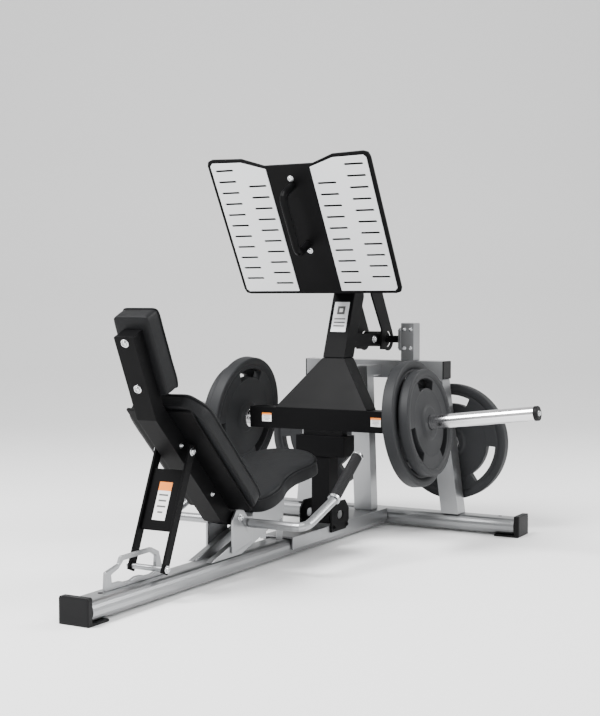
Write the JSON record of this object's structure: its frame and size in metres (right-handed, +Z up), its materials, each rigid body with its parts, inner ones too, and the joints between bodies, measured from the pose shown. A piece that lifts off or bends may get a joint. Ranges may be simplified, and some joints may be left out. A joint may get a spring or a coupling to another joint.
{
  "type": "leg press machine",
  "caption": "Plate-loaded leg press with a reclining padded back, pivoting foot plate, loading horns with plates and a silver floor frame.",
  "frame": {"origin": "Centre of the bounding box in plan, on the floor.", "axes": "+Z up, +Y the way the user faces, +X to the user's right; symmetric about X = 0."},
  "size_m": [1.6338, 2.048, 1.3924],
  "materials": {
    "silver_paint": "satin metallic silver powder coat",
    "black_paint": "satin black powder coat",
    "black_plastic": "matt black foot cap",
    "chrome": "polished",
    "soft_rubber": "matt, ribbed",
    "plate_rubber": "dark grey moulded rubber over an iron core",
    "panel_metal": "pale satin sheet",
    "vinyl": "charcoal vinyl upholstery"
  },
  "bodies": {
    "base": {"base_tube": "silver_paint", "cross_tube": "silver_paint", "base_cover": "silver_paint", "rear_leg_left": "silver_paint", "rear_leg_right": "silver_paint", "bearing_upright_left": "silver_paint", "bearing_upright_right": "silver_paint", "flange_bearing_left": "silver_paint", "flange_bearing_right": "silver_paint", "top_beam": "silver_paint", "centre_post": "silver_paint", "adjuster_rack": "silver_paint", "seat_frame_left": "silver_paint", "seat_frame_right": "silver_paint", "hinge_ear_left": "silver_paint", "hinge_ear_right": "silver_paint", "handle_tube_left": "silver_paint", "handle_tube_right": "silver_paint", "front_foot": "black_plastic", "rear_foot_left": "black_plastic", "rear_foot_right": "black_plastic", "storage_horn_left": "chrome", "storage_horn_right": "chrome", "stop_post": "black_paint", "stop_head": "black_paint", "stop_cheek_left": "black_paint", "stop_cheek_right": "black_paint", "rubber_buffer": "soft_rubber", "handle_grip_left": "soft_rubber", "handle_grip_right": "soft_rubber", "seat_pad": "vinyl"},
    "press_arm": {"arm_crossbar": "black_paint", "arm_gusset": "black_paint", "arm_neck": "black_paint", "arm_link": "black_paint", "pivot_shaft": "black_paint", "arm_side_plate_left": "black_paint", "arm_side_plate_right": "black_paint", "footplate": "black_paint", "footplate_handle": "black_paint", "grip_panel_left": "panel_metal", "grip_panel_right": "panel_metal", "loading_horn_left": "chrome", "loading_horn_right": "chrome"},
    "backrest": {"backrest_spine": "black_paint", "backrest_pin": "silver_paint", "back_board": "black_paint", "back_pad": "vinyl", "head_pad": "vinyl"},
    "prop": {"prop_bar_left": "black_paint", "prop_bar_right": "black_paint", "prop_plate": "black_paint", "prop_rod": "silver_paint", "prop_handle": "black_paint"},
    "plate_large_left": {"plate_large_left": "plate_rubber"},
    "plate_small_left": {"plate_small_left": "plate_rubber"},
    "plate_stored_left": {"plate_stored_left": "plate_rubber"},
    "plate_large_right": {"plate_large_right": "plate_rubber"},
    "plate_small_right": {"plate_small_right": "plate_rubber"},
    "plate_stored_right": {"plate_stored_right": "plate_rubber"}
  },
  "joints": [
    {"name": "press_arm_pivot", "type": "hinge", "parent": "base", "child": "press_arm", "pos_m": [0, 0.857, 0.739], "axis": [-1, 0, 0], "range_deg": [0, 35]},
    {"name": "backrest_recline", "type": "hinge", "parent": "base", "child": "backrest", "pos_m": [0, -0.24504, 0.19092], "axis": [1, 0, 0], "range_deg": [0, 12]},
    {"name": "prop_swing", "type": "hinge", "parent": "backrest", "child": "prop", "pos_m": [0, -0.53645, 0.43376], "axis": [1, 0, 0], "range_deg": [-32.04, 0]},
    {"name": "spin_large_left", "type": "hinge", "parent": "press_arm", "child": "plate_large_left", "pos_m": [-0.35727, 0.439, 0.45231], "axis": [-0.9925, 0, 0.1219], "continuous": true},
    {"name": "spin_small_left", "type": "hinge", "parent": "press_arm", "child": "plate_small_left", "pos_m": [-0.39985, 0.439, 0.45754], "axis": [-0.9925, 0, 0.1219], "continuous": true},
    {"name": "spin_stored_left", "type": "hinge", "parent": "base", "child": "plate_stored_left", "pos_m": [-0.288, 0.9505, 0.34], "axis": [0, 1, 0], "continuous": true},
    {"name": "spin_large_right", "type": "hinge", "parent": "press_arm", "child": "plate_large_right", "pos_m": [0.35727, 0.439, 0.45231], "axis": [0.9925, 0, 0.1219], "continuous": true},
    {"name": "spin_small_right", "type": "hinge", "parent": "press_arm", "child": "plate_small_right", "pos_m": [0.39985, 0.439, 0.45754], "axis": [0.9925, 0, 0.1219], "continuous": true},
    {"name": "spin_stored_right", "type": "hinge", "parent": "base", "child": "plate_stored_right", "pos_m": [0.288, 0.9505, 0.34], "axis": [0, 1, 0], "continuous": true}
  ],
  "couplings": [
    {"joint": "prop_swing", "follows": "backrest_recline", "ratio": -2.6282}
  ]
}
